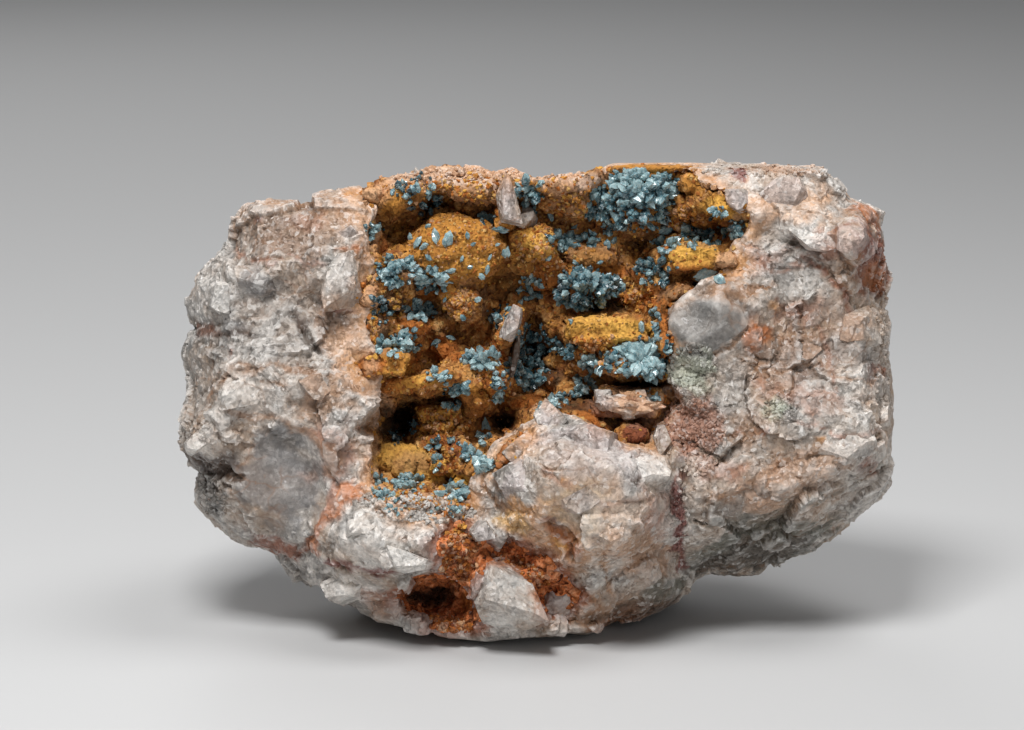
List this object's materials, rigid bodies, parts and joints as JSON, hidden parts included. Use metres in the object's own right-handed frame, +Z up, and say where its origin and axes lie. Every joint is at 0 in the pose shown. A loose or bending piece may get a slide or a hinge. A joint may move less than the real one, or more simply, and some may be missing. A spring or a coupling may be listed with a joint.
{
  "type": "mineral specimen with blue crystals in a lined rock pocket",
  "caption": "Cabinet mineral specimen: a broken block of milky quartz, with an ochre-lined pocket in its face that holds a crust of blue crystals.",
  "frame": {"origin": "middle of the object's footprint box, on the surface that it stands on", "axes": "+Z up, +X to the right of someone who looks at the face with the pocket, the face looks along -Y and leans back"},
  "size_m": [0.092, 0.0504, 0.0593],
  "materials": {
    "quartz": "milky grey-white quartz, granular and broken, stained warm beige and rust",
    "ochre_limonite": "dull ochre-orange limonite crust, granular, dark brown in its hollows",
    "blue_crystal": "glassy teal-blue translucent crystals",
    "rust_limonite": "dull rust-coloured limonite"
  },
  "bodies": {
    "root": {"quartz_matrix": "quartz", "limonite_lining": "ochre_limonite", "pharmacosiderite_crystals": "blue_crystal", "limonite_seam": "rust_limonite"}
  },
  "joints": []
}
